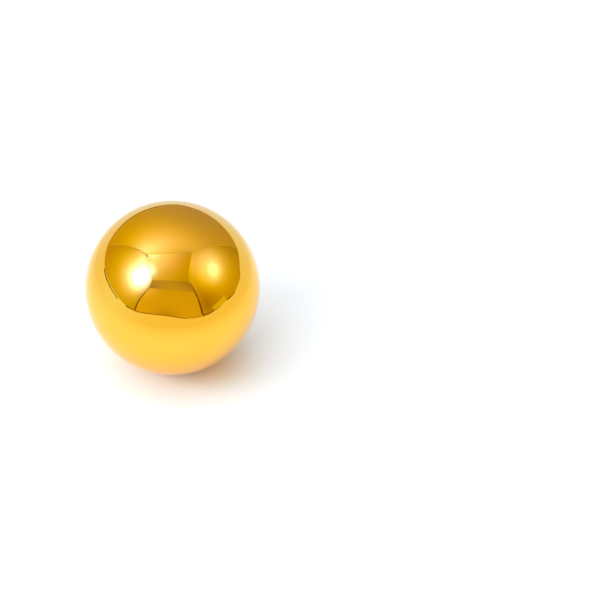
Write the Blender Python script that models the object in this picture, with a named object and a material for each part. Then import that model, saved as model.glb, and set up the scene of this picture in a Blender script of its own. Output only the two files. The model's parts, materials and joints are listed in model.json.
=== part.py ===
"""Ball stud earring: a hollow gold ball on a straight ear post, lying on a flat surface.

Both pieces are turned shapes about one line, the stud's axis. They are modelled upright, with the axis
along +Z and the ball's centre at the origin, and carried by one empty. The empty then lays the stud down
as it would lie by itself, on the ball and on the tip of the post, with the post pointing to +Y.
"""

import math

import bmesh
import bpy

# Ball
BALL_DIAMETER = 0.0140
BALL_WALL = 0.0005
SEAT_DIAMETER = 0.0034

# Ear post
POST_DIAMETER = 0.0009
POST_LENGTH = 0.0100
PEG_LENGTH = 0.0018
PAD_DIAMETER = 0.0030
PAD_THICKNESS = 0.0005
PAD_BEVEL = 0.0001
ROOT_FILLET = 0.0002
TIP_LENGTH = 0.0006
GROOVE_DEPTH = 0.0001
GROOVE_WIDTH = 0.0006
GROOVE_FROM_TIP = 0.0020

# Gap kept between the two pieces, at the pad's seat and around the peg
CLEARANCE = 0.0003

# Fineness of the turned shapes
BALL_SEGMENTS = 48
BALL_RINGS = 32
HOLLOW_RINGS = 20
POST_SEGMENTS = 20
ROUND_STEPS = 4

# Finishes: linear colour, roughness
GOLD_PLATE = ((0.97, 0.55, 0.09), 0.05)
POST_PLATE = ((0.94, 0.56, 0.13), 0.16)

BALL_RADIUS = BALL_DIAMETER / 2
POST_RADIUS = POST_DIAMETER / 2
HOLE_RADIUS = POST_RADIUS + CLEARANCE


def arc(centre, radii, start, end, steps):
    """Points (distance along the axis, distance from it) of an elliptic arc, both ends included."""
    points = []
    for step in range(steps + 1):
        angle = start + (end - start) * step / steps
        along = centre[0] + radii[0] * math.cos(angle)
        out = centre[1] + radii[1] * math.sin(angle)
        points.append((along, out))
    return points


def seat_distance():
    """How far the spot-face at the back of the ball lies from the ball's centre."""
    return math.sqrt(BALL_RADIUS ** 2 - (SEAT_DIAMETER / 2) ** 2)


def pad_distance():
    """How far the front of the post's pad lies from the ball's centre."""
    return seat_distance() + CLEARANCE


def ball_profile():
    """Half outline of the ball: outer arc, spot-face, hole, flat under the spot-face, inner arc."""
    inner_radius = BALL_RADIUS - BALL_WALL
    inner_seat = seat_distance() - BALL_WALL
    outer = arc((0, 0), (BALL_RADIUS, BALL_RADIUS), math.pi, math.acos(seat_distance() / BALL_RADIUS), BALL_RINGS)
    inner = arc((0, 0), (inner_radius, inner_radius), math.acos(inner_seat / inner_radius), math.pi, HOLLOW_RINGS)
    hole = [(seat_distance(), HOLE_RADIUS), (inner_seat, HOLE_RADIUS)]
    return outer + hole + inner


def post_profile():
    """Half outline of the ear post: peg, pad, root fillet, wire, catch groove, rounded tip."""
    pad_front = pad_distance()
    pad_back = pad_front + PAD_THICKNESS
    pad_radius = PAD_DIAMETER / 2
    tip = pad_back + POST_LENGTH
    groove_middle = tip - GROOVE_FROM_TIP
    peg_end = seat_distance() - PEG_LENGTH

    peg = [(peg_end, 0), (peg_end, POST_RADIUS), (pad_front, POST_RADIUS)]
    pad = [
        (pad_front, pad_radius - PAD_BEVEL),
        (pad_front + PAD_BEVEL, pad_radius),
        (pad_back - PAD_BEVEL, pad_radius),
        (pad_back, pad_radius - PAD_BEVEL),
    ]
    fillet_centre = (pad_back + ROOT_FILLET, POST_RADIUS + ROOT_FILLET)
    fillet = arc(fillet_centre, (ROOT_FILLET, ROOT_FILLET), math.pi, math.pi * 1.5, ROUND_STEPS)
    groove = [
        (groove_middle - GROOVE_WIDTH / 2, POST_RADIUS),
        (groove_middle - GROOVE_WIDTH / 4, POST_RADIUS - GROOVE_DEPTH),
        (groove_middle + GROOVE_WIDTH / 4, POST_RADIUS - GROOVE_DEPTH),
        (groove_middle + GROOVE_WIDTH / 2, POST_RADIUS),
    ]
    round_tip = arc((tip - TIP_LENGTH, 0), (TIP_LENGTH, POST_RADIUS), math.pi / 2, 0, ROUND_STEPS)
    return peg + pad + fillet + groove + round_tip


def finish(name, colour, roughness):
    """A plated metal finish."""
    material = bpy.data.materials.new(name)
    material.use_nodes = True
    shader = material.node_tree.nodes["Principled BSDF"]
    shader.inputs["Base Color"].default_value = (*colour, 1)
    shader.inputs["Metallic"].default_value = 1
    shader.inputs["Roughness"].default_value = roughness
    return material


def turned(name, profile, segments, material):
    """Turns a half outline about +Z into one closed piece.

    The outline starts half a segment past +Y, so that a flat between two corners, and not a corner,
    faces the surface that the stud lies on.
    """
    mesh = bpy.data.meshes.new(name)
    shape = bmesh.new()
    start = math.pi / 2 + math.pi / segments
    corners = [shape.verts.new((out * math.cos(start), out * math.sin(start), along)) for along, out in profile]
    edges = [shape.edges.new(pair) for pair in zip(corners, corners[1:])]
    bmesh.ops.spin(
        shape, geom=corners + edges, cent=(0, 0, 0), axis=(0, 0, 1), angle=2 * math.pi, steps=segments
    )
    bmesh.ops.remove_doubles(shape, verts=shape.verts, dist=1e-7)
    bmesh.ops.dissolve_degenerate(shape, edges=shape.edges, dist=1e-7)
    bmesh.ops.recalc_face_normals(shape, faces=shape.faces)
    shape.to_mesh(mesh)
    shape.free()
    mesh.shade_smooth()
    mesh.set_sharp_from_angle(angle=math.radians(35))
    mesh.materials.append(material)
    piece = bpy.data.objects.new(name, mesh)
    bpy.context.scene.collection.objects.link(piece)
    return piece


def lowest(profile, segments, tilt):
    """Lowest point of a turned piece when its axis points down by the tilt, below the ball's centre."""
    flat = math.cos(math.pi / segments)
    return min(-along * math.sin(tilt) - out * flat * math.cos(tilt) for along, out in profile)


def resting_tilt():
    """How far the post points down when the stud lies on its ball and on the tip of its post."""
    level, steep = 0.0, math.radians(80)
    for _ in range(60):
        tilt = (level + steep) / 2
        if lowest(post_profile(), POST_SEGMENTS, tilt) > lowest(ball_profile(), BALL_SEGMENTS, tilt):
            level = tilt
        else:
            steep = tilt
    return tilt


def lay_down(holder, pieces):
    """Tilts the holder to the resting pose and centres the stud on the origin, on the surface at z = 0."""
    holder.rotation_euler = (-math.pi / 2 - resting_tilt(), 0, 0)
    bpy.context.view_layer.update()
    corners = [piece.matrix_world @ corner.co for piece in pieces for corner in piece.data.vertices]
    middle = [(min(c[i] for c in corners) + max(c[i] for c in corners)) / 2 for i in range(2)]
    holder.location = (-middle[0], -middle[1], -min(c[2] for c in corners))
    bpy.context.view_layer.update()


def main():
    for old in list(bpy.data.objects):
        bpy.data.objects.remove(old, do_unlink=True)

    holder = bpy.data.objects.new("stud_axis", None)
    bpy.context.scene.collection.objects.link(holder)
    ball = turned("ball", ball_profile(), BALL_SEGMENTS, finish("gold_plate", *GOLD_PLATE))
    ear_post = turned("ear_post", post_profile(), POST_SEGMENTS, finish("post_plate", *POST_PLATE))
    for piece in (ball, ear_post):
        piece.parent = holder
    lay_down(holder, [ball, ear_post])


main()
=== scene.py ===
"""Dresses the ball stud earring: a mirror-polished gold ball on a drawn gold post, lying on white paper.

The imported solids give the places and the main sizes. This script turns the two pieces again with a fine
surface, gives them their plated finishes, and sets up the paper, the light tent that the gold mirrors, the
lamps and the camera.
"""

import json
import logging
import math
from dataclasses import dataclass, field
from enum import Enum
from typing import ClassVar

import bmesh
import bpy
import numpy as np
from mathutils import Matrix, Vector


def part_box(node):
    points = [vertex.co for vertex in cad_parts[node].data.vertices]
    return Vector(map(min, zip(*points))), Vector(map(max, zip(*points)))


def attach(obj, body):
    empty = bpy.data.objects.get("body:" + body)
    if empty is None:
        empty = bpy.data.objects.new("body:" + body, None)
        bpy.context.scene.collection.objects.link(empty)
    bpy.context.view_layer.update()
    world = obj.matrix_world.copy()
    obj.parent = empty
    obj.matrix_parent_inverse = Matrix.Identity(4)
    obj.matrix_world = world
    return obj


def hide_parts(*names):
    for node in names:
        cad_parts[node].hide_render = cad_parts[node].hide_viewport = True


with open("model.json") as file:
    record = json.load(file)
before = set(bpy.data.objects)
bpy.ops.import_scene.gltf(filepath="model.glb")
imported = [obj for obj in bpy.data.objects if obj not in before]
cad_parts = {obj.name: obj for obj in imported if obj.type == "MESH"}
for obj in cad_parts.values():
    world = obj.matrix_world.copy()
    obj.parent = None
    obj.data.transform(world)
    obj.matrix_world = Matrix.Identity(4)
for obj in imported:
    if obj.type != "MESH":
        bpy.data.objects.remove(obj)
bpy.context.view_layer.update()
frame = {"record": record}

BODY = "root"
MM = 0.001

log = logging.getLogger("ball_stud")

Socket = bpy.types.NodeSocket
Span = tuple[float, float]
Point = tuple[float, float]
Outline = list[Point]
Colour = tuple[float, float, float]
Place = tuple[float, float, float]


def arc(centre: Point, radii: Point, start: float, end: float, steps: int) -> Outline:
    """Points of an elliptic arc in an outline.

    Args:
        centre: distance along the stud's axis, and distance from it.
        radii: half axes along the stud's axis and away from it.
        start: first angle in radians, where 0 points along the axis to the post's tip.
        end: last angle in radians.
        steps: how many chords the arc has.

    Returns:
        The points, both ends included.
    """
    angles = [start + (end - start) * step / steps for step in range(steps + 1)]
    return [(centre[0] + radii[0] * math.cos(a), centre[1] + radii[1] * math.sin(a)) for a in angles]


def compass(azimuth: float, elevation: float) -> Vector:
    """Unit vector to a place round the stud.

    Args:
        azimuth: degrees from +Y, the way that the camera looks, positive to the right.
        elevation: degrees above the horizon.

    Returns:
        The direction in the part's frame.
    """
    a, e = math.radians(azimuth), math.radians(elevation)
    return Vector((math.sin(a) * math.cos(e), math.cos(a) * math.cos(e), math.sin(e)))


def put_in_scene(name: str, data: bpy.types.ID) -> bpy.types.Object:
    """Makes an object from its mesh, lamp or camera.

    Args:
        name: name of the object.
        data: what it shows.

    Returns:
        The new object, which is in the scene.
    """
    thing = bpy.data.objects.new(name, data)
    bpy.context.scene.collection.objects.link(thing)
    return thing


@dataclass(frozen=True)
class StudFrame:
    """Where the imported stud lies: the ball, the line of the post and the back of its pad.

    Attributes:
        centre: centre of the ball.
        radius: radius of the ball.
        direction: the way the post points.
        pad_back: distance from the ball's centre to the back of the pad.
    """

    centre: Vector
    radius: float
    direction: Vector
    pad_back: float

    @classmethod
    def read(cls) -> "StudFrame":
        """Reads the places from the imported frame."""
        low, high = (Vector(corner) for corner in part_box("ball"))
        mount = next(m for m in frame["record"]["mounts"] if m["name"] == "pad_back")
        centre = (low + high) / 2
        radius = (high.z - low.z) / 2
        direction = Vector(mount["axis"]).normalized()
        pad_back = (Vector(mount["pos_m"]) - centre).dot(direction)
        return cls(centre, radius, direction, pad_back)

    def placement(self) -> Matrix:
        """Matrix that lays an upright turned shape down along the post's line."""
        turn = self.direction.to_track_quat("Z", "Y").to_matrix().to_4x4()
        return Matrix.Translation(self.centre) @ turn


class Wiring:
    """Adds and joins the nodes of one tree."""

    def __init__(self, tree: bpy.types.NodeTree) -> None:
        """Keeps the tree that the nodes go into."""
        self.tree = tree

    def add(self, kind: str, **settings: object) -> bpy.types.Node:
        """Adds a node and sets its options.

        Args:
            kind: Blender's name for the type of node.
            settings: options of the node, by attribute name.

        Returns:
            The new node.
        """
        node = self.tree.nodes.new(kind)
        for name, value in settings.items():
            setattr(node, name, value)
        return node

    def feed(self, socket: Socket, source: object) -> None:
        """Gives a socket its source: another node's output, or a plain value."""
        if isinstance(source, Socket):
            self.tree.links.new(source, socket)
        else:
            socket.default_value = source

    def through(self, kind: str, geometry: Socket, **settings: object) -> bpy.types.Node:
        """Adds a node that a geometry runs through."""
        node = self.add(kind, **settings)
        self.feed(node.inputs["Geometry"], geometry)
        return node

    def maths(self, operation: str, *sources: object) -> Socket:
        """Output of one arithmetic node.

        Args:
            operation: Blender's name for the operation.
            sources: outputs or numbers, in the node's order.

        Returns:
            The result's socket.
        """
        node = self.add("ShaderNodeMath", operation=operation)
        for socket, source in zip(node.inputs, sources):
            self.feed(socket, source)
        return node.outputs[0]

    def vectors(self, operation: str, *sources: object) -> bpy.types.Node:
        """One vector arithmetic node with its sources joined.

        Args:
            operation: Blender's name for the operation.
            sources: outputs or vectors, in the node's order. A scale goes in by the name Scale instead.

        Returns:
            The node, whose result is Vector or Value.
        """
        node = self.add("ShaderNodeVectorMath", operation=operation)
        for socket, source in zip(node.inputs, sources):
            self.feed(socket, source)
        return node

    def scaled(self, colour: object, factor: Socket) -> Socket:
        """A colour or vector times a factor."""
        node = self.vectors("SCALE", colour)
        self.feed(node.inputs["Scale"], factor)
        return node.outputs["Vector"]

    def blend(self, share: Socket, first: Colour, second: Colour) -> Socket:
        """Mixes two colours.

        Args:
            share: how much of the second there is, from 0 to 1.
            first: the colour at 0.
            second: the colour at 1.

        Returns:
            The mixed colour's socket.
        """
        node = self.add("ShaderNodeMix", data_type="RGBA")
        self.feed(node.inputs["Factor"], share)
        node.inputs["A"].default_value = (*first, 1)
        node.inputs["B"].default_value = (*second, 1)
        return node.outputs["Result"]

    def bell(self, away: Socket, reach: float) -> Socket:
        """Share from 1 at no distance to nothing well past the reach."""
        share = self.maths("DIVIDE", away, reach)
        return self.maths("EXPONENT", self.maths("MULTIPLY", self.maths("MULTIPLY", share, share), -1.0))

    def noise(self, place: Socket, scale: float, detail: float = 2.0, twist: float = 0.0) -> Socket:
        """Smooth noise from 0 to 1.

        Args:
            place: position on the piece, in metres.
            scale: blotches to the metre.
            detail: how many finer layers are added.
            twist: how far the noise is bent by itself.

        Returns:
            The noise's value.
        """
        node = self.add("ShaderNodeTexNoise")
        self.feed(node.inputs["Vector"], place)
        for name, value in (("Scale", scale), ("Detail", detail), ("Distortion", twist)):
            node.inputs[name].default_value = value
        return node.outputs["Fac"]

    def spread(self, value: Socket, low: float, high: float, start: float, end: float) -> Socket:
        """Maps a value smoothly from one range to another.

        Args:
            value: what is mapped.
            low: value that gives start.
            high: value that gives end.
            start: result at low.
            end: result at high.

        Returns:
            The mapped value's socket.
        """
        node = self.add("ShaderNodeMapRange", interpolation_type="SMOOTHSTEP")
        for name, number in (("From Min", low), ("From Max", high), ("To Min", start), ("To Max", end)):
            node.inputs[name].default_value = number
        self.feed(node.inputs["Value"], value)
        return node.outputs["Result"]


class Marks(Enum):
    """The fine marks that the last polish leaves in the plate."""

    HAIRLINES = "curved hairlines of a mirror polish"
    DRAWN = "straight lines along a drawn wire"


@dataclass(frozen=True)
class GoldPlate:
    """Plated and polished gold.

    Attributes:
        name: name of the material.
        colour: colour of the clean plate, linear.
        rubbed: colour where the plate is rubbed, linear.
        gloss: roughness of the clean and of the smudged plate.
        marks: the kind of fine marks.
        mark_height: depth of the fine marks in metres.
        wave_height: height of the slow waves that the polish leaves, in metres.
        rub_middle: place along the axis where rubbing is strongest, from the ball's centre, in metres.
        rub_reach: how far along the axis the rubbing goes, in metres.
    """

    # Blotches, lines and waves to the metre
    SMUDGE_SCALE: ClassVar[float] = 260.0
    HAIRLINE_SCALE: ClassVar[float] = 330.0
    PATCH_SCALE: ClassVar[float] = 500.0
    DRAWN_SCALE: ClassVar[float] = 9000.0
    WAVE_SCALE: ClassVar[float] = 170.0

    # Values of the noise between which a smudge, a rub, a patch of hairlines or a drawn line fades in
    SMUDGE_EDGE: ClassVar[Span] = (0.35, 0.75)
    RUB_EDGE: ClassVar[Span] = (0.4, 0.6)
    PATCH_EDGE: ClassVar[Span] = (0.48, 0.6)
    DRAWN_EDGE: ClassVar[Span] = (0.5, 0.62)

    HAIRLINE_WIDTH: ClassVar[float] = 0.004
    HAIRLINE_BEND: ClassVar[float] = 2.5
    DRAWN_STRETCH: ClassVar[Place] = (1.0, 1.0, 0.02)
    SMUDGE_BEND: ClassVar[float] = 0.6
    LEAST_RUB: ClassVar[float] = 0.2

    # Roughness that the marks and the rubbing add
    MARK_ROUGHNESS: ClassVar[float] = 0.04
    RUB_ROUGHNESS: ClassVar[float] = 0.06

    name: str
    colour: Colour
    rubbed: Colour
    gloss: Span
    marks: Marks
    mark_height: float
    wave_height: float
    rub_middle: float
    rub_reach: float

    def material(self, stud: StudFrame) -> bpy.types.Material:
        """Builds the finish for a piece on the stud's axis.

        Args:
            stud: where the stud lies, so that the marks follow its axis.

        Returns:
            The new material.
        """
        material = bpy.data.materials.new(self.name)
        material.use_nodes = True
        wiring = Wiring(material.node_tree)
        shader = material.node_tree.nodes["Principled BSDF"]
        shader.inputs["Metallic"].default_value = 1.0

        place = self._place(wiring, stud)
        smudge = wiring.noise(place, self.SMUDGE_SCALE, detail=4.0, twist=self.SMUDGE_BEND)
        marks = self._marks(wiring, place)
        rub = self._rub(wiring, place, smudge)

        roughness = wiring.spread(smudge, *self.SMUDGE_EDGE, *self.gloss)
        marked = wiring.maths("MULTIPLY_ADD", marks, self.MARK_ROUGHNESS, roughness)
        rubbed = wiring.maths("MULTIPLY_ADD", rub, self.RUB_ROUGHNESS, marked)
        wiring.feed(shader.inputs["Roughness"], rubbed)
        wiring.feed(shader.inputs["Base Color"], wiring.blend(rub, self.colour, self.rubbed))
        wiring.feed(shader.inputs["Normal"], self._relief(wiring, place, marks))
        return material

    def _place(self, wiring: Wiring, stud: StudFrame) -> Socket:
        """Position on the piece, with Z along the stud's axis from the ball's centre."""
        coordinates = wiring.add("ShaderNodeTexCoord")
        mapping = wiring.add("ShaderNodeMapping", vector_type="TEXTURE")
        mapping.inputs["Location"].default_value = stud.centre
        mapping.inputs["Rotation"].default_value = stud.placement().to_euler()
        wiring.feed(mapping.inputs["Vector"], coordinates.outputs["Object"])
        return mapping.outputs["Vector"]

    def _marks(self, wiring: Wiring, place: Socket) -> Socket:
        """Mask of the fine marks, 1 in a mark and 0 on clean plate."""
        if self.marks is Marks.DRAWN:
            stretched = wiring.vectors("MULTIPLY", place, self.DRAWN_STRETCH).outputs["Vector"]
            drawn = wiring.noise(stretched, self.DRAWN_SCALE, detail=3.0)
            return wiring.spread(drawn, *self.DRAWN_EDGE, 0.0, 1.0)
        # A hairline runs where the bent noise crosses its middle value
        bent = wiring.noise(place, self.HAIRLINE_SCALE, detail=1.0, twist=self.HAIRLINE_BEND)
        away = wiring.maths("ABSOLUTE", wiring.maths("SUBTRACT", bent, 0.5))
        line = wiring.spread(away, 0.0, self.HAIRLINE_WIDTH, 1.0, 0.0)
        patches = wiring.spread(wiring.noise(place, self.PATCH_SCALE), *self.PATCH_EDGE, 0.0, 1.0)
        return wiring.maths("MULTIPLY", line, patches)

    def _rub(self, wiring: Wiring, place: Socket, smudge: Socket) -> Socket:
        """How far the plate is rubbed, from 0 to 1, strongest at the rubbed place along the axis."""
        split = wiring.add("ShaderNodeSeparateXYZ")
        wiring.feed(split.inputs[0], place)
        away = wiring.maths("ABSOLUTE", wiring.maths("SUBTRACT", split.outputs["Z"], self.rub_middle))
        near = wiring.spread(away, 0.0, self.rub_reach, 1.0, 0.0)
        return wiring.maths("MULTIPLY", near, wiring.spread(smudge, *self.RUB_EDGE, self.LEAST_RUB, 1.0))

    def _relief(self, wiring: Wiring, place: Socket, marks: Socket) -> Socket:
        """Normal bent by the slow waves of the polish and by the fine marks."""
        waves = wiring.add("ShaderNodeBump")
        waves.inputs["Distance"].default_value = self.wave_height
        wiring.feed(waves.inputs["Height"], wiring.noise(place, self.WAVE_SCALE, detail=1.0))
        scratches = wiring.add("ShaderNodeBump", invert=True)
        scratches.inputs["Distance"].default_value = self.mark_height
        wiring.feed(scratches.inputs["Height"], marks)
        wiring.feed(scratches.inputs["Normal"], waves.outputs["Normal"])
        return scratches.outputs["Normal"]


class Lathe:
    """Turns half outlines into closed pieces with one Geometry Nodes tree."""

    SHARP_ANGLE: ClassVar[float] = math.radians(35)
    MERGE_DISTANCE: ClassVar[float] = 0.0001 * MM
    # Keeps the division of an index by the columns clear of whole numbers
    HALF_STEP: ClassVar[float] = 0.5

    def __init__(self) -> None:
        """Builds the tree, whose grid has a row for each outline point and a column for each flat."""
        self.tree = bpy.data.node_groups.new("turned_shape", "GeometryNodeTree")
        interface = self.tree.interface
        interface.new_socket(name="Outline", in_out="INPUT", socket_type="NodeSocketGeometry")
        self.segments = interface.new_socket(name="Segments", in_out="INPUT", socket_type="NodeSocketInt")
        self.start = interface.new_socket(name="Start Angle", in_out="INPUT", socket_type="NodeSocketFloat")
        self.finish = interface.new_socket(name="Finish", in_out="INPUT", socket_type="NodeSocketMaterial")
        interface.new_socket(name="Piece", in_out="OUTPUT", socket_type="NodeSocketGeometry")
        self._wire(Wiring(self.tree))

    def _wire(self, wiring: Wiring) -> None:
        """Adds the tree's nodes and joins them."""
        given = wiring.add("NodeGroupInput").outputs
        count = wiring.through("GeometryNodeAttributeDomainSize", given["Outline"], component="MESH")
        columns = wiring.maths("ADD", given["Segments"], 1.0)
        grid = wiring.add("GeometryNodeMeshGrid")
        wiring.feed(grid.inputs["Vertices X"], count.outputs["Point Count"])
        wiring.feed(grid.inputs["Vertices Y"], columns)

        index = wiring.add("GeometryNodeInputIndex").outputs["Index"]
        shifted = wiring.maths("ADD", index, self.HALF_STEP)
        row = wiring.maths("FLOOR", wiring.maths("DIVIDE", shifted, columns))
        column = wiring.maths("SUBTRACT", index, wiring.maths("MULTIPLY", row, columns))
        step = wiring.maths("DIVIDE", math.tau, given["Segments"])
        angle = wiring.maths("ADD", wiring.maths("MULTIPLY", column, step), given["Start Angle"])

        sample = wiring.through(
            "GeometryNodeSampleIndex", given["Outline"], data_type="FLOAT_VECTOR", domain="POINT")
        wiring.feed(sample.inputs["Value"], wiring.add("GeometryNodeInputPosition").outputs["Position"])
        wiring.feed(sample.inputs["Index"], row)
        turn = wiring.add("ShaderNodeVectorRotate", rotation_type="Z_AXIS")
        wiring.feed(turn.inputs["Vector"], sample.outputs["Value"])
        wiring.feed(turn.inputs["Angle"], angle)

        shape = wiring.through("GeometryNodeSetPosition", grid.outputs["Mesh"])
        wiring.feed(shape.inputs["Position"], turn.outputs["Vector"])
        merged = wiring.through("GeometryNodeMergeByDistance", shape.outputs["Geometry"])
        merged.inputs["Distance"].default_value = self.MERGE_DISTANCE
        smooth = wiring.through("GeometryNodeSetShadeSmooth", merged.outputs["Geometry"])
        real = wiring.through("GeometryNodeRealizeInstances", smooth.outputs["Geometry"])
        dressed = wiring.through("GeometryNodeSetMaterial", real.outputs["Geometry"])
        wiring.feed(dressed.inputs["Material"], given["Finish"])
        wiring.feed(wiring.add("NodeGroupOutput").inputs["Piece"], dressed.outputs["Geometry"])

    def turn(self, name: str, outline: Outline, segments: int, finish: bpy.types.Material, placement: Matrix
             ) -> bpy.types.Object:
        """Turns an outline and lays the piece down in its place.

        Args:
            name: name of the new piece.
            outline: points (along the axis, away from it), from one end of the piece to the other.
            segments: how many flats the turned shape has round the axis.
            finish: material of the piece.
            placement: matrix from the upright shape to the part's frame.

        Returns:
            The finished piece, with its place in its mesh.
        """
        profile = bpy.data.meshes.new(name + "_outline")
        chain = [(at, at + 1) for at in range(len(outline) - 1)]
        profile.from_pydata([(away, 0, along) for along, away in outline], chain, [])
        guide = put_in_scene(name + "_outline", profile)
        modifier = guide.modifiers.new("turned_shape", "NODES")
        modifier.node_group = self.tree
        modifier[self.segments.identifier] = segments
        modifier[self.start.identifier] = math.pi / 2 + math.pi / segments
        modifier[self.finish.identifier] = finish

        depsgraph = bpy.context.evaluated_depsgraph_get()
        mesh = bpy.data.meshes.new_from_object(guide.evaluated_get(depsgraph), depsgraph=depsgraph)
        guide.modifiers.remove(modifier)
        bpy.data.objects.remove(guide, do_unlink=True)
        bpy.data.meshes.remove(profile)
        mesh.name = name
        mesh.transform(placement)
        shape = bmesh.new()
        shape.from_mesh(mesh)
        bmesh.ops.recalc_face_normals(shape, faces=shape.faces)
        shape.to_mesh(mesh)
        shape.free()
        mesh.set_sharp_from_angle(angle=self.SHARP_ANGLE)
        return put_in_scene(name, mesh)


@dataclass
class Ball:
    """The hollow gold ball, with its spot-face and the drilled hole for the post's peg."""

    stud: StudFrame
    wall: float = 0.5 * MM
    seat_diameter: float = 3.4 * MM
    hole_diameter: float = 1.5 * MM
    segments: int = 192
    rings: int = 128
    hollow_rings: int = 48
    plate: GoldPlate = field(default_factory=lambda: GoldPlate(
        name="mirror_gold_plate",
        colour=(0.97, 0.53, 0.065),
        rubbed=(0.95, 0.56, 0.12),
        gloss=(0.03, 0.06),
        marks=Marks.HAIRLINES,
        mark_height=0.0004 * MM,
        wave_height=0.0035 * MM,
        rub_middle=7.0 * MM,
        rub_reach=1.6 * MM,
    ))

    def seat(self) -> float:
        """Distance from the ball's centre to the spot-face."""
        return math.sqrt(self.stud.radius ** 2 - (self.seat_diameter / 2) ** 2)

    def outline(self) -> Outline:
        """Half outline: outer arc, spot-face, hole, flat under the spot-face and inner arc."""
        outer, inner = self.stud.radius, self.stud.radius - self.wall
        seat, under = self.seat(), self.seat() - self.wall
        hole = self.hole_diameter / 2
        return [
            *arc((0, 0), (outer, outer), math.pi, math.acos(seat / outer), self.rings),
            (seat, hole),
            (under, hole),
            *arc((0, 0), (inner, inner), math.acos(under / inner), math.pi, self.hollow_rings),
        ]

    def build(self, lathe: Lathe) -> list[bpy.types.Object]:
        """Makes and dresses the ball.

        Args:
            lathe: what turns its outline.

        Returns:
            Its pieces.
        """
        finish = self.plate.material(self.stud)
        piece = lathe.turn("gold_ball", self.outline(), self.segments, finish, self.stud.placement())
        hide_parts("ball")
        return [piece]


@dataclass
class EarPost:
    """The ear post: peg, solder, pad, wire, catch groove and rounded tip, all one piece."""

    # Chords of the rounded forms, and the depth of the solder's waist for its width
    EDGE_STEPS: ClassVar[int] = 6
    FILLET_STEPS: ClassVar[int] = 8
    SOLDER_STEPS: ClassVar[int] = 10
    GROOVE_STEPS: ClassVar[int] = 12
    TIP_STEPS: ClassVar[int] = 14
    SOLDER_WAIST: ClassVar[float] = 0.7

    stud: StudFrame
    seat: float
    wire_diameter: float = 0.9 * MM
    wire_length: float = 10.0 * MM
    peg_length: float = 1.8 * MM
    pad_diameter: float = 3.0 * MM
    pad_thickness: float = 0.5 * MM
    pad_round: float = 0.12 * MM
    solder_diameter: float = 2.5 * MM
    root_fillet: float = 0.2 * MM
    tip_length: float = 0.6 * MM
    groove_depth: float = 0.1 * MM
    groove_width: float = 0.6 * MM
    groove_from_tip: float = 2.0 * MM
    segments: int = 72
    plate: GoldPlate = field(default_factory=lambda: GoldPlate(
        name="drawn_gold_plate",
        colour=(0.94, 0.56, 0.12),
        rubbed=(0.90, 0.66, 0.33),
        gloss=(0.13, 0.2),
        marks=Marks.DRAWN,
        mark_height=0.002 * MM,
        wave_height=0.003 * MM,
        rub_middle=15.6 * MM,
        rub_reach=1.2 * MM,
    ))

    def outline(self) -> Outline:
        """Half outline from the peg's end inside the ball to the tip."""
        wire, pad = self.wire_diameter / 2, self.pad_diameter / 2
        back = self.stud.pad_back
        front = back - self.pad_thickness
        peg_end = self.seat - self.peg_length
        peg = [(peg_end, 0), (peg_end, wire), (self.seat, wire)]
        turn = (self.pad_round, self.pad_round)
        away = pad - self.pad_round
        pad_edge = [
            *arc((front + self.pad_round, away), turn, math.pi, math.pi / 2, self.EDGE_STEPS),
            *arc((back - self.pad_round, away), turn, math.pi / 2, 0, self.EDGE_STEPS),
        ]
        hollow = (self.root_fillet, self.root_fillet)
        fillet_centre = (back + self.root_fillet, wire + self.root_fillet)
        fillet = arc(fillet_centre, hollow, math.pi, math.pi * 1.5, self.FILLET_STEPS)
        return peg + self._solder(front) + pad_edge + fillet + self._groove() + self._tip()

    def _solder(self, pad_front: float) -> Outline:
        """Waisted ring of solder between the ball's spot-face and the pad."""
        rim = self.solder_diameter / 2
        half = (pad_front - self.seat) / 2
        radii = (half, half * self.SOLDER_WAIST)
        return arc((self.seat + half, rim), radii, math.pi, math.pi * 2, self.SOLDER_STEPS)

    def _groove(self) -> Outline:
        """Shallow round groove that a push-on back clicks into."""
        wire = self.wire_diameter / 2
        middle = self.stud.pad_back + self.wire_length - self.groove_from_tip
        radii = (self.groove_width / 2, self.groove_depth)
        return arc((middle, wire), radii, math.pi, math.pi * 2, self.GROOVE_STEPS)

    def _tip(self) -> Outline:
        """Rounded end of the wire."""
        end = self.stud.pad_back + self.wire_length
        radii = (self.tip_length, self.wire_diameter / 2)
        return arc((end - self.tip_length, 0), radii, math.pi / 2, 0, self.TIP_STEPS)

    def build(self, lathe: Lathe) -> list[bpy.types.Object]:
        """Makes and dresses the post.

        Args:
            lathe: what turns its outline.

        Returns:
            Its pieces.
        """
        finish = self.plate.material(self.stud)
        piece = lathe.turn("gold_ear_post", self.outline(), self.segments, finish, self.stud.placement())
        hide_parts("ear_post")
        return [piece]


@dataclass(frozen=True)
class Glow:
    """Round patch of light that a lamp throws on the tent's cloth.

    Attributes:
        place: middle of the patch in mm from the ball's centre.
        radius: reach of the patch in mm.
        colour: added brightness at its middle, linear. Below 0 it is shade.
    """

    place: Place
    radius: float
    colour: Colour


@dataclass(frozen=True)
class Beam:
    """Fan of light that spreads from the stud over the far paper.

    Attributes:
        azimuth: degrees from +Y, the way that the camera looks, positive to the right.
        spread: half angle of the fan in degrees.
        colour: added brightness along its middle, linear.
    """

    azimuth: float
    spread: float
    colour: Colour


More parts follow.
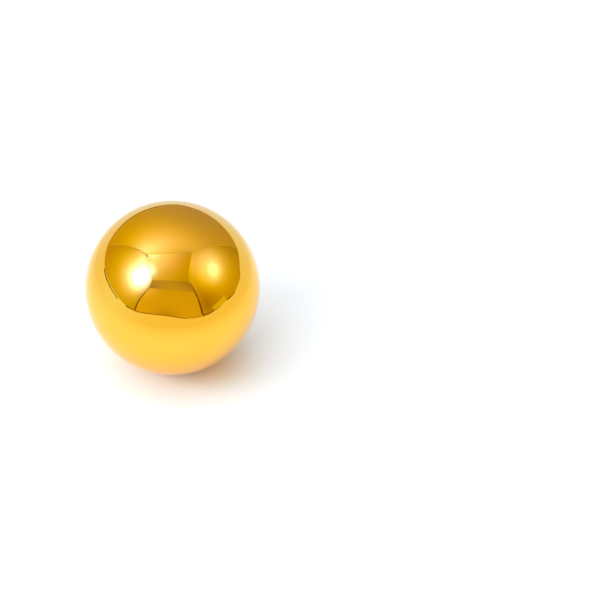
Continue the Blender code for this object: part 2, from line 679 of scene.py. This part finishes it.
@dataclass(frozen=True)
class TentCloth:
    """Lit cloth of one side of the tent.

    Attributes:
        colour: brightness of the cloth level with the ball, linear.
        slope: how that brightness grows along X, Y and Z, in shares for each 200 mm.
        glows: the lamps' patches on it.
    """

    SLOPE_LENGTH: ClassVar[float] = 200 * MM
    DIMMEST: ClassVar[float] = 0.1

    colour: Colour
    slope: Place = (0.0, 0.0, 0.0)
    glows: tuple[Glow, ...] = ()

    def material(self, name: str, centre: Vector) -> bpy.types.Material:
        """Builds the cloth's light.

        Args:
            name: name of the material.
            centre: the ball's centre, from which the glows are placed.

        Returns:
            The new material.
        """
        material = bpy.data.materials.new(name)
        material.use_nodes = True
        material.cycles.emission_sampling = "NONE"
        material.node_tree.nodes.clear()
        wiring = Wiring(material.node_tree)
        seen = wiring.add("ShaderNodeTexCoord").outputs["Object"]
        place = wiring.vectors("SUBTRACT", seen, centre).outputs["Vector"]
        slope = Vector(self.slope) / self.SLOPE_LENGTH
        rise = wiring.vectors("DOT_PRODUCT", place, slope).outputs["Value"]
        share = wiring.maths("MAXIMUM", wiring.maths("ADD", rise, 1.0), self.DIMMEST)
        light = wiring.scaled(self.colour, share)
        for glow in self.glows:
            away = wiring.vectors("DISTANCE", place, Vector(glow.place) * MM).outputs["Value"]
            fall = wiring.bell(away, glow.radius * MM)
            light = wiring.vectors("ADD", light, wiring.scaled(glow.colour, fall)).outputs["Vector"]
        # Shade can't go below darkness
        shown = wiring.vectors("MAXIMUM", light, (0, 0, 0)).outputs["Vector"]
        emission = wiring.add("ShaderNodeEmission")
        wiring.feed(emission.inputs["Color"], shown)
        output = wiring.add("ShaderNodeOutputMaterial")
        wiring.feed(output.inputs["Surface"], emission.outputs["Emission"])
        return material


def reflected_only(panel: bpy.types.Object) -> None:
    """Marks a stage panel as seen in the gold alone, so that it hides the stud from no side."""
    panel.visible_camera = False
    panel.visible_diffuse = False
    panel.visible_transmission = False
    panel.visible_shadow = False


@dataclass(frozen=True)
class TentSide:
    """Upright side of the tent.

    Attributes:
        across: its X in mm from the ball's centre.
        outline: its corners, Y and Z in mm from the ball's centre.
        cloth: its light.
    """

    across: float
    outline: tuple[Point, ...]
    cloth: TentCloth


@dataclass(frozen=True)
class TentSheet:
    """Cloth stretched through rows of points, each from the left to the right.

    Attributes:
        rows: places in mm from the ball's centre. The longest row sets the columns of all.
        cloth: its light.
    """

    rows: tuple[tuple[Place, ...], ...]
    cloth: TentCloth

    def grid(self) -> list[list[Place]]:
        """The rows, all with as many points as the longest one, at the same shares of their lengths."""
        stops = self._stops(max(self.rows, key=len))
        return [
            list(zip(*(np.interp(stops, self._stops(row), axis) for axis in zip(*row))))
            for row in self.rows
        ]

    @staticmethod
    def _stops(row: tuple[Place, ...]) -> list[float]:
        """Share of the row's length at each of its points."""
        lengths = [0.0]
        for near, far in zip(row, row[1:]):
            lengths.append(lengths[-1] + math.dist(near, far))
        return [length / lengths[-1] for length in lengths]


@dataclass(frozen=True)
class TentSeam:
    """Narrow strip along an edge of the cloth: tape and seams, painted shade lines and painted highlight
    lines.

    Attributes:
        path: its points in mm from the ball's centre.
        widths: its width in mm at the first and at the last point.
        cloth: its light.
    """

    DRAWN_IN: ClassVar[float] = 0.985

    path: tuple[Place, ...]
    widths: Span
    cloth: TentCloth

    def grid(self) -> list[list[Place]]:
        """Its two edges, set just inside the cloth and turned to face the ball."""
        spots = [Vector(spot) for spot in self.path]
        last = len(spots) - 1
        rows = []
        for at, spot in enumerate(spots):
            along = spots[min(at + 1, last)] - spots[max(at - 1, 0)]
            half = (self.widths[0] + (self.widths[1] - self.widths[0]) * at / last) / 2
            aside = spot.cross(along).normalized() * half
            rows.append([tuple(spot * self.DRAWN_IN - aside), tuple(spot * self.DRAWN_IN + aside)])
        return rows


LEFT, RIGHT = -190, 146
BACK_FOOT = ((LEFT, 178, 6), (-133, 173, 10), (-66, 174, 9), (-26, 172, 9), (8, 173, 4), (26, 170, 12),
             (46, 167, 12), (69, 166, 15), (98, 163, 17), (RIGHT, 120, 12))
RIDGE = ((LEFT, -9, 321), (-22, -38, 335), (RIGHT, -8, 347))
SLOT_TOP = ((LEFT, -240, 292), (RIGHT, -254, 278))
SLOT_FOOT = ((LEFT, -249, 208), (RIGHT, -223, 148))
FRONT_FOOT = ((LEFT, -175, -6), (-137, -181, 2), (-91, -183, 9), (-46, -185, 12), (-12, -184, 10),
              (22, -181, 3), (59, -178, -7), (RIGHT, -193, -7))
# Painted shade: the dark line along the left side's foot and the dark spot at the ridge's left end.
SHADE_LINE = TentCloth((0.06, 0.03, 0.0))
# Dark lines: seams down the front corners and by the right hem, and painted shade along the feet of the
# left and right sides.
DARK_SEAM_AND_FOOT_SHADE = TentCloth((0.17, 0.09, 0.02))
GREY_TAPE = TentCloth((0.33, 0.22, 0.03))


@dataclass
class LightTent:
    """The light tent round the stud, which the gold mirrors.

    It has two upright sides and a sheet that runs over the top, from the foot of the back to the foot of
    the front, with a slot for the camera. Tape, painted shade lines and painted highlight lines run along
    its edges. Its floor is painted light over the far part of the paper, a little yellower than the lit
    paper that the stud lies on.

    Attributes:
        centre: the ball's centre, from which all its places are measured.
        floor: height of the paper, in metres.
    """

    centre: Vector
    floor: float

    SIDES: ClassVar[dict[str, TentSide]] = {
        "left": TentSide(
            LEFT,
            ((178, 6), (165, 34), (134, 89), (109, 137), (83, 181), (49, 242), (-9, 321), (-84, 315),
             (-238, 298), (-263, 243), (-234, 169), (-209, 113), (-193, 76), (-182, 38), (-175, -6),
             (-166, -7), (-120, -3), (-95, -1), (-71, 3), (-24, 8.5), (19, 10.5), (47, 9.5), (80, 9),
             (120, 8), (150, 7)),
            TentCloth((0.46, 0.32, 0.035), (0, 0.26, -0.52), (
                Glow((LEFT, -136, 219), 65, (2.7, 4.0, 25)),
                Glow((LEFT, -76, 143), 56, (1.3, 1.5, 8.2)),
                Glow((LEFT, -110, 151), 42, (2.5, 2.9, 10)),
                Glow((LEFT, -77, 178), 170, (0.87, 0.97, -0.08)),
                Glow((LEFT, -54, 277), 87, (1.4, 1.2, 4.6)),
                Glow((LEFT, -190, 300), 50, (0.8, 1.2, 8.0)),
                Glow((LEFT, -252, 262), 42, (0.5, 0.6, 1.6)),
            )),
        ),
        "right": TentSide(
            RIGHT,
            ((120, 12), (115, 27), (107, 51), (95, 81), (78, 123), (55, 182), (25, 257), (-8, 347),
             (-87, 350), (-244, 348), (-254, 278), (-228, 162), (-206, 96), (-197, 49), (-193, -7),
             (-85, -7), (-60, -3), (-48, -2), (-24, -5), (8, -3), (36, 1), (59, 10), (90, 13)),
            TentCloth((0.56, 0.45, 0.073), (0, -0.34, -0.54), (
                Glow((RIGHT, -57, 262), 74, (-0.14, -0.13, 0.87)),
                Glow((RIGHT, -30, 109), 31, (0.32, 1.19, 4.33)),
                Glow((RIGHT, -42, 132), 89, (1.46, 1.48, -0.50)),
                Glow((RIGHT, -66, 323), 170, (0.89, 0.85, -0.08)),
                Glow((RIGHT, -95, 88), 101, (-0.47, -0.50, -0.50)),
                Glow((RIGHT, -32, 144), 73, (-0.50, -0.40, 2.59)),
                Glow((RIGHT, -155, 12), 48, (-0.12, -0.09, 0)),
            )),
        ),
    }

    SHEETS: ClassVar[dict[str, TentSheet]] = {
        "back": TentSheet(
            (BACK_FOOT, ((LEFT, 165, 34), (RIGHT, 107, 51)), ((LEFT, 134, 89), (RIGHT, 93, 90)),
             ((LEFT, 83, 181), (RIGHT, 55, 182)), ((LEFT, 49, 242), (RIGHT, 25, 257)), RIDGE),
            TentCloth((0.575, 0.47, 0.063), (-0.06, -0.03, -0.31), (
                Glow((-73, -40, 199), 100, (0.19, 0.24, 4.0)),
                Glow((160, -40, 260), 170, (0.43, 0.42, 0.55)),
                Glow((-166, -32, 228), 80, (-0.14, 1.29, 6.0)),
                Glow((-112, -16, 225), 170, (0.89, 0.85, -0.50)),
                Glow((34, 180, 85), 81, (-0.20, -0.14, 0.45)),
            )),
        ),
        "roof": TentSheet(
            (RIDGE, ((LEFT, -84, 315), (RIGHT, -87, 350)), ((LEFT, -157, 308), (RIGHT, -171, 350)),
             ((LEFT, -238, 298), (RIGHT, -244, 348)), SLOT_TOP),
            TentCloth((0.26, 0.23, 0.0), (-0.55, -0.04, 0.91), (
                Glow((-133, -22, 325), 28, (-0.24, 0.44, 3.5)),
                Glow((-198, -146, 306), 53, (0.36, 2.2, 12)),
                Glow((-154, 14, 298), 170, (0.63, 0.95, 3.0)),
                Glow((15, -95, 306), 152, (0.10, -0.04, -0.16)),
            )),
        ),
        "slot": TentSheet((SLOT_TOP, SLOT_FOOT), TentCloth((1.2, 1.0, 0.19), (-0.19, 0.37, -0.07), (
            Glow((-230, -204, 159), 144, (-0.5, -0.39, 0.13)),
        ))),
        "front": TentSheet(
            (SLOT_FOOT, ((LEFT, -209, 113), (RIGHT, -206, 96)), FRONT_FOOT),
            TentCloth((1.2, 0.98, 0.03), (-0.02, 0.41, 0.04), (
                Glow((-180, -144, 196), 71, (0.97, 1.2, 1.44)),
                Glow((-30, -130, 0), 55, (-0.5, -0.5, -0.06)),
            )),
        ),
        "front_hem": TentSheet(
            (((59, -178, -6.8), (RIGHT, -193, -6.8)), ((55, -104, -6.8), (61, -79, -6.8))),
            TentCloth((0.70, 0.56, 0.01)),
        ),
        "right_hem": TentSheet(
            (((RIGHT, -193, -6.8), (RIGHT, -70, -6.8)),
             ((61, -79, -6.8), (72, -68, -6.8), (97, -74, -6.8))),
            TentCloth((0.36, 0.27, 0.02)),
        ),
        # Painted highlight: a lighter patch at the foot of the right side.
        "painted_highlight_patch": TentSheet(
            (((RIGHT - 1, -121, 8), (RIGHT - 1, -52, 16)), ((134, -102, -6.7), (RIGHT - 1, -48, -3))),
            TentCloth((0.76, 0.70, 0.01)),
        ),
    }

    SEAMS: ClassVar[dict[str, TentSeam]] = {
        "front_left": TentSeam(
            ((LEFT, -247, 200), (LEFT, -234, 169), (LEFT, -209, 113), (LEFT, -193, 76), (LEFT, -182, 38),
             (LEFT, -175, -6)), (5, 8), DARK_SEAM_AND_FOOT_SHADE),
        "front_right_top": TentSeam(
            ((RIGHT, -237, 243), (RIGHT, -225, 191), (RIGHT, -215, 146)), (5, 10), DARK_SEAM_AND_FOOT_SHADE),
        "front_right": TentSeam(
            ((RIGHT, -215, 146), (RIGHT, -203, 79), (RIGHT, -195, 33), (RIGHT, -193, 11),
             (RIGHT, -193, -7)), (12, 17), DARK_SEAM_AND_FOOT_SHADE),
        "front_right_hem": TentSeam(((RIGHT, -193, -6.5), (61, -79, -6.5)), (14, 5), DARK_SEAM_AND_FOOT_SHADE),
        "front_foot": TentSeam(FRONT_FOOT, (5, 3), GREY_TAPE),
        # Painted shade line along the foot of the left side, where it meets the paper.
        "left_foot": TentSeam(
            ((LEFT, 75, 6.5), (LEFT, 55, 5.5), (LEFT, 23, 5.5), (LEFT, 0, 5), (LEFT, -24, 3.5),
             (LEFT, -48, 0), (LEFT, -58, -2)), (4.5, 3), SHADE_LINE),
        "left_foot_corner": TentSeam(
            # Painted shade along the front end of the left side's foot.
            ((LEFT, -110, -3.5), (LEFT, -135, -5.5), (LEFT, -171, -6)), (5, 6), DARK_SEAM_AND_FOOT_SHADE),
        "back_foot_left": TentSeam(BACK_FOOT[:4], (3, 12), GREY_TAPE),
        "back_foot": TentSeam(BACK_FOOT[3:7], (12, 3), GREY_TAPE),
        # Painted shade along the right side's foot.
        "right_foot": TentSeam(((RIGHT, -48, -3), (RIGHT, -24, -5), (RIGHT, -8, -5)), (4, 2), DARK_SEAM_AND_FOOT_SHADE),
        # Painted highlight along the ridge.
        "ridge": TentSeam(
            ((LEFT + 6, -10, 321), (-150, -20, 325), (-100, -31, 330), (-22, -38, 335), (40, -31, 339)),
            (9, 4),
            TentCloth((1.05, 1.15, 1.2), (-0.2, 0, 0), (Glow((LEFT, -10, 320), 100, (0.1, 0.9, 3.0)),))),
        # Painted highlight along the left side's top edge.
        "left_top": TentSeam(
            ((LEFT, 165, 34), (LEFT, 134, 89), (LEFT, 109, 137), (LEFT, 90, 168)), (4, 4),
            TentCloth((0.76, 0.60, 0.12))),
        # Painted shade line along the upper end of the left side's top edge.
        "left_top_end": TentSeam(
            ((LEFT, 83, 181), (LEFT, 49, 242), (LEFT, -9, 321)), (2, 4), TentCloth((0.42, 0.30, 0.05))),
        # Painted shade: a dark spot at the left end of the ridge.
        "left_ridge_end": TentSeam(((LEFT, -2, 317), (LEFT, -22, 322)), (18, 18), SHADE_LINE),
        "left_roof_knot": TentSeam(((LEFT, -105, 313), (LEFT, -125, 311)), (5, 5), GREY_TAPE),
        # Painted highlight along the right side's top edge.
        "right_top": TentSeam(
            ((RIGHT, 107, 51), (RIGHT, 95, 81), (RIGHT, 78, 123), (RIGHT, 55, 182)), (3, 4),
            TentCloth((0.72, 0.56, 0.12))),
    }

    # The far paper: its light, the radii and rises of its rings in mm, its height over the paper in mm, and
    # the distances in mm between which it fades in
    FAR_PAPER: ClassVar[TentCloth] = TentCloth((1.0, 0.96, 0.52))
    FAR_PAPER_BEAMS: ClassVar[tuple[Beam, ...]] = (
        Beam(-105.0, 32.0, (0.0, 0.2, 0.65)),
        Beam(10.0, 60.0, (-0.14, 0.04, 0.7)),
    )
    FAR_PAPER_RINGS: ClassVar[tuple[Point, ...]] = ((5, 0), (60, 0), (180, 0), (300, 0), (420, 60))
    FAR_PAPER_SIDES: ClassVar[int] = 48
    FAR_PAPER_ABOVE: ClassVar[float] = 0.05
    FAR_PAPER_FADE: ClassVar[Span] = (6, 44)

    def build(self) -> list[bpy.types.Object]:
        """Makes the tent's sides, sheets, tapes and floor.

        Returns:
            Its panels.
        """
        panels = []
        for name, side in self.SIDES.items():
            corners = [(side.across, *corner) for corner in side.outline]
            panels.append(self._panel(name, corners, [tuple(range(len(corners)))], side.cloth))
        for name, sheet in (self.SHEETS | self.SEAMS).items():
            panels.append(self._sheet(name, sheet.grid(), sheet.cloth))
        panels.append(self._far_paper())
        for panel in panels:
            reflected_only(panel)
        return panels

    def _panel(self, name: str, places: list[Place], faces: list[tuple[int, ...]], cloth: TentCloth
               ) -> bpy.types.Object:
        """One panel from places in mm, dressed in its cloth."""
        mesh = bpy.data.meshes.new("tent_" + name)
        mesh.from_pydata([self.centre + Vector(place) * MM for place in places], [], faces)
        mesh.materials.append(cloth.material("tent_cloth_" + name, self.centre))
        return put_in_scene("tent_" + name, mesh)

    def _sheet(self, name: str, grid: list[list[Place]], cloth: TentCloth, closed: bool = False
               ) -> bpy.types.Object:
        """Panel of quads through a grid of places.

        Args:
            name: name of the panel.
            grid: rows of places in mm, all of one length.
            cloth: its light.
            closed: whether the last column joins the first.

        Returns:
            The panel.
        """
        columns = len(grid[0])
        faces = []
        for row in range(len(grid) - 1):
            for column in range(columns if closed else columns - 1):
                near, far = row * columns, (row + 1) * columns
                beside = (column + 1) % columns
                faces.append((near + column, near + beside, far + beside, far + column))
        return self._panel(name, [place for row in grid for place in row], faces, cloth)

    def _far_paper(self) -> bpy.types.Object:
        """Rings of light over the far paper, clear near the stud, where the paper itself shows."""
        level = (self.floor - self.centre.z) / MM + self.FAR_PAPER_ABOVE
        turns = [math.tau * side / self.FAR_PAPER_SIDES for side in range(self.FAR_PAPER_SIDES)]
        grid = [
            [(away * math.cos(turn), away * math.sin(turn), level + rise) for turn in turns]
            for away, rise in self.FAR_PAPER_RINGS
        ]
        rings = self._sheet("far_paper", grid, self.FAR_PAPER, closed=True)
        self._dress_far_paper(rings.data.materials[0])
        return rings

    def _dress_far_paper(self, material: bpy.types.Material) -> None:
        """Makes the far paper's light differ from side to side, and clears it near the stud."""
        wiring = Wiring(material.node_tree)
        emission = material.node_tree.nodes["Emission"]
        output = material.node_tree.nodes["Material Output"]
        seen = wiring.add("ShaderNodeTexCoord").outputs["Object"]
        place = wiring.vectors("SUBTRACT", seen, self.centre).outputs["Vector"]
        level = wiring.vectors("MULTIPLY", place, (1, 1, 0)).outputs["Vector"]
        away = wiring.vectors("LENGTH", level).outputs["Value"]
        outward = wiring.vectors("NORMALIZE", level).outputs["Vector"]
        colour = self.FAR_PAPER.colour
        for beam in self.FAR_PAPER_BEAMS:
            # The cosine's fall from 1 is half the angle squared, so this is a bell over the angle
            along = wiring.vectors("DOT_PRODUCT", outward, compass(beam.azimuth, 0.0)).outputs["Value"]
            sharpness = 2.0 / math.radians(beam.spread) ** 2
            turned = wiring.maths("MULTIPLY", wiring.maths("SUBTRACT", along, 1.0), sharpness)
            fall = wiring.maths("EXPONENT", turned)
            colour = wiring.vectors("ADD", wiring.scaled(beam.colour, fall), colour).outputs["Vector"]
        wiring.feed(emission.inputs["Color"], colour)
        clear = wiring.add("ShaderNodeBsdfTransparent")
        near, far = (limit * MM for limit in self.FAR_PAPER_FADE)
        mixed = wiring.add("ShaderNodeMixShader")
        wiring.feed(mixed.inputs["Fac"], wiring.spread(away, near, far, 0.0, 1.0))
        wiring.feed(mixed.inputs[1], clear.outputs["BSDF"])
        wiring.feed(mixed.inputs[2], emission.outputs["Emission"])
        wiring.feed(output.inputs["Surface"], mixed.outputs["Shader"])


@dataclass
class Paper:
    """White paper that the stud lies on.

    Attributes:
        contact: where the ball touches it.
        half_width: half of its side in metres.
        colour: its clean colour, linear.
        golden: its colour where the ball throws golden light on it, linear.
        golden_offset: middle of that light from the contact point, in metres.
        golden_radius: reach of that light in metres.
        roughness: roughness of the paper.
        shine: its specular level.
        grain_scale: grains to the metre.
        grain_height: depth of the grain in metres.
    """

    contact: Vector
    half_width: float = 2.0
    colour: Colour = (0.80, 0.80, 0.80)
    golden: Colour = (0.80, 0.64, 0.43)
    golden_offset: Place = (3.0 * MM, -1.2 * MM, 0.0)
    golden_radius: float = 2.7 * MM
    roughness: float = 0.9
    shine: float = 0.1
    grain_scale: float = 4000.0
    grain_height: float = 0.005 * MM

    def build(self) -> list[bpy.types.Object]:
        """Makes the paper.

        Returns:
            The stage pieces.
        """
        material = bpy.data.materials.new("white_paper")
        material.use_nodes = True
        wiring = Wiring(material.node_tree)
        shader = material.node_tree.nodes["Principled BSDF"]
        shader.inputs["Roughness"].default_value = self.roughness
        shader.inputs["Specular IOR Level"].default_value = self.shine
        place = wiring.add("ShaderNodeTexCoord").outputs["Object"]
        middle = self.contact + Vector(self.golden_offset)
        away = wiring.vectors("DISTANCE", place, middle).outputs["Value"]
        near = wiring.bell(away, self.golden_radius)
        wiring.feed(shader.inputs["Base Color"], wiring.blend(near, self.colour, self.golden))
        grain = wiring.add("ShaderNodeBump")
        grain.inputs["Distance"].default_value = self.grain_height
        wiring.feed(grain.inputs["Height"], wiring.noise(place, self.grain_scale))
        wiring.feed(shader.inputs["Normal"], grain.outputs["Normal"])

        half = self.half_width
        corners = [(-half, -half, 0), (half, -half, 0), (half, half, 0), (-half, half, 0)]
        mesh = bpy.data.meshes.new("paper")
        mesh.from_pydata(corners, [], [(0, 1, 2, 3)])
        mesh.materials.append(material)
        paper = put_in_scene("paper", mesh)
        return [paper]


@dataclass(frozen=True)
class SoftLamp:
    """One soft lamp, far enough away to light the paper evenly.

    Attributes:
        name: name of the lamp.
        azimuth: degrees from +Y, the way that the camera looks, positive to the right.
        elevation: degrees above the horizon.
        spread: how many degrees it fills of the sky.
        strength: its light on a surface that faces it, in W per square metre.
    """

    name: str
    azimuth: float
    elevation: float
    spread: float
    strength: float

    def build(self) -> None:
        """Makes the lamp. It stays out of the gold, which mirrors the tent instead."""
        lamp = bpy.data.lights.new(self.name, "SUN")
        lamp.angle = math.radians(self.spread)
        lamp.energy = self.strength
        toward = compass(self.azimuth, self.elevation)
        holder = put_in_scene(self.name, lamp)
        holder.location = toward
        holder.rotation_euler = toward.to_track_quat("Z", "Y").to_euler()
        holder.visible_glossy = False


@dataclass
class StudioLight:
    """The even light of the studio, and the soft light from the left that casts the shadow.

    Attributes:
        sky: colour of the light that comes from all round, linear.
        backdrop: colour that the camera sees behind the paper, linear.
        lamps: the soft lamps.
    """

    sky: Colour = (0.90, 0.975, 1.035)
    backdrop: Colour = (1.05, 1.05, 1.05)
    lamps: tuple[SoftLamp, ...] = (
        SoftLamp("lamp_core", -123.0, 39.5, 14.0, 0.24),
        SoftLamp("lamp_low", -106.0, 29.0, 24.0, 0.95),
        SoftLamp("lamp_front", -143.0, 32.0, 30.0, 0.65),
        SoftLamp("lamp_glow", -92.0, 47.0, 112.0, 1.65),
    )

    def build(self) -> None:
        """Makes the sky and the lamps."""
        world = bpy.data.worlds.new("studio")
        world.use_nodes = True
        wiring = Wiring(world.node_tree)
        seen = wiring.add("ShaderNodeLightPath").outputs["Is Camera Ray"]
        background = world.node_tree.nodes["Background"]
        wiring.feed(background.inputs["Color"], wiring.blend(seen, self.sky, self.backdrop))
        bpy.context.scene.world = world
        for lamp in self.lamps:
            lamp.build()


@dataclass
class Viewpoint:
    """The camera: a long lens, looking down at the stud with the post hidden behind the ball.

    Attributes:
        stud: where the stud lies.
        elevation: degrees above the horizon.
        distance: from the ball's centre, in metres.
        ball_at: where the ball's centre shows, in pixels from the left and the top.
        ball_pixels: radius of the ball in pixels.
    """

    IMAGE_SIZE: ClassVar[int] = 600
    SIGHT: ClassVar[float] = 10.0

    stud: StudFrame
    elevation: float = 40.0
    distance: float = 450 * MM
    ball_at: Point = (172.5, 287.6)
    ball_pixels: float = 87.6

    def build(self) -> None:
        """Makes the camera and aims it so that the ball shows at its place in the image."""
        data = bpy.data.cameras.new("camera")
        reach = math.sqrt(self.distance ** 2 - self.stud.radius ** 2)
        focal = self.ball_pixels * reach / self.stud.radius
        data.lens = focal * data.sensor_width / self.IMAGE_SIZE
        data.clip_end = self.SIGHT
        camera = put_in_scene("camera", data)
        toward = compass(180.0, self.elevation)
        up = compass(0.0, 90.0 - self.elevation)
        facing = Matrix((Vector((1, 0, 0)), up, toward)).transposed()
        beside = (self.ball_at[0] - self.IMAGE_SIZE / 2) / focal
        above = (self.IMAGE_SIZE / 2 - self.ball_at[1]) / focal
        aside = Vector((beside, above, -1)).rotation_difference(Vector((0, 0, -1)))
        camera.location = self.stud.centre + toward * self.distance
        camera.rotation_euler = (facing @ aside.to_matrix()).to_euler()
        bpy.context.scene.camera = camera


def main() -> None:
    """Builds the stud, then the stage, the light and the camera."""
    logging.basicConfig(level=logging.INFO, format="%(name)s: %(message)s")
    bpy.context.scene.view_settings.view_transform = "Standard"
    stud = StudFrame.read()
    Viewpoint(stud).build()
    lathe = Lathe()
    ball = Ball(stud)
    for part in (ball, EarPost(stud, seat=ball.seat())):
        for piece in part.build(lathe):
            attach(piece, BODY)
            log.info("%s: %d faces", piece.name, len(piece.data.polygons))
    contact = Vector((stud.centre.x, stud.centre.y, 0.0))
    for stage in (Paper(contact), LightTent(stud.centre, floor=contact.z)):
        for piece in stage.build():
            log.info("stage piece %s", piece.name)
    StudioLight().build()


if __name__ == "__main__":
    main()
